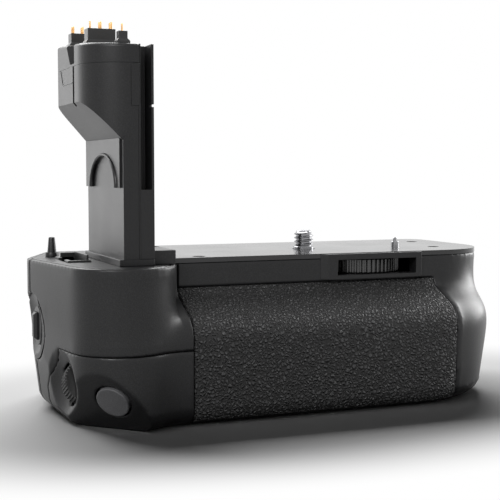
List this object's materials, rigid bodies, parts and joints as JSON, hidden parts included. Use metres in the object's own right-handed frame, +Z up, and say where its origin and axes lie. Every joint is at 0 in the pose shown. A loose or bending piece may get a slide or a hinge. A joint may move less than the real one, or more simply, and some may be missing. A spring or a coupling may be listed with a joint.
{
  "type": "camera battery grip",
  "caption": "Vertical battery grip for a camera: contact stalk, attachment stud turned by a thumbwheel, sliding pack tray with a turn lock, shutter button, dial and power knob.",
  "frame": {"origin": "middle of the bounding box in plan, on the surface that the grip stands on", "axes": "+X from the hand bulge end to the other end, -Y the front with the rubber, +Z up along the attachment stud"},
  "size_m": [0.152, 0.076, 0.117],
  "materials": {
    "housing": "fine-grained matte",
    "deck": "smooth satin",
    "inner_plastic": "smooth matte",
    "button_plastic": "satin",
    "rubber": "leather grain",
    "steel": "turned",
    "bright_metal": "polished",
    "gold_contact": "plated",
    "board": "lacquered board",
    "cable": "film"
  },
  "bodies": {
    "body": {"left_shell": "housing", "control_corner": "housing", "front_housing": "housing", "rear_housing": "housing", "rubber_grip": "rubber", "top_deck": "deck", "left_cap": "deck", "base_plate": "housing", "base_screws": "steel", "deck_screws": "steel", "wheel_frame": "housing", "tripod_bush": "bright_metal", "battery_bay": "inner_plastic", "bay_contacts": "gold_contact", "chassis_plate": "steel", "wheel_axle": "steel", "stud_bush": "gold_contact", "main_board": "board", "locating_pin": "bright_metal", "guide_peg": "housing", "door_clips": "inner_plastic", "stalk_foot": "housing", "stalk_left": "housing", "stalk_right": "housing", "stalk_crown": "housing", "rear_contact_block": "inner_plastic", "middle_contact_block": "inner_plastic", "front_contact_block": "inner_plastic", "pin_board": "board", "flat_cable": "cable", "shutter_switch": "board", "dial_bracket": "inner_plastic", "dial_axle": "steel", "power_dish": "housing", "power_switch": "inner_plastic", "button_board": "board", "thumb_rest": "rubber"},
    "pins": {"contact_pins": "gold_contact"},
    "stud": {"attachment_stud": "bright_metal", "stud_gear": "steel"},
    "wheel": {"thumbwheel": "rubber"},
    "shutter": {"shutter_button": "button_plastic"},
    "dial": {"control_dial": "button_plastic"},
    "power": {"power_knob": "button_plastic"},
    "start": {"start_button": "button_plastic"},
    "lock_key": {"lock_button": "button_plastic"},
    "select": {"select_button": "button_plastic"},
    "tray": {"battery_tray": "inner_plastic", "tray_panel": "housing", "tray_contacts": "gold_contact"},
    "tray_lock": {"lock_knob": "button_plastic"}
  },
  "joints": [
    {"name": "wheel_turn", "type": "hinge", "parent": "body", "child": "wheel", "pos_m": [0.02945, -0.0041, 0.043], "axis": [0, 0, 1], "continuous": true},
    {"name": "stud_turn", "type": "hinge", "parent": "body", "child": "stud", "pos_m": [0.0145, 0.004, 0.043], "axis": [0, 0, 1], "continuous": true},
    {"name": "pins_sink", "type": "slide", "parent": "body", "child": "pins", "axis": [0, 0, -1], "range_m": [0, 0.0012], "stiffness_N_per_m": 500},
    {"name": "shutter_press", "type": "slide", "parent": "body", "child": "shutter", "axis": [0.6124, 0.6124, 0.5], "range_m": [0, 0.0012], "stiffness_N_per_m": 900},
    {"name": "dial_turn", "type": "hinge", "parent": "body", "child": "dial", "pos_m": [-0.0638, -0.0165, 0.012], "axis": [0, -0.9063, 0.4226], "continuous": true},
    {"name": "power_turn", "type": "hinge", "parent": "body", "child": "power", "pos_m": [-0.0705, 0.0065, 0.0262], "axis": [1, 0, 0], "range_deg": [0, 45]},
    {"name": "start_press", "type": "slide", "parent": "body", "child": "start", "axis": [0, -1, 0], "range_m": [0, 0.0007], "stiffness_N_per_m": 1500},
    {"name": "lock_press", "type": "slide", "parent": "body", "child": "lock_key", "axis": [0, -1, 0], "range_m": [0, 0.0007], "stiffness_N_per_m": 1500},
    {"name": "select_press", "type": "slide", "parent": "body", "child": "select", "axis": [0, -1, 0], "range_m": [0, 0.0007], "stiffness_N_per_m": 1500},
    {"name": "tray_slide", "type": "slide", "parent": "body", "child": "tray", "axis": [0, 1, 0], "range_m": [0, 0.045]},
    {"name": "tray_lock_turn", "type": "hinge", "parent": "tray", "child": "tray_lock", "pos_m": [0.00745, 0.036, 0.01975], "axis": [0, 1, 0], "range_deg": [0, 90]}
  ],
  "couplings": [
    {"joint": "stud_turn", "follows": "wheel_turn", "ratio": -1.125}
  ]
}
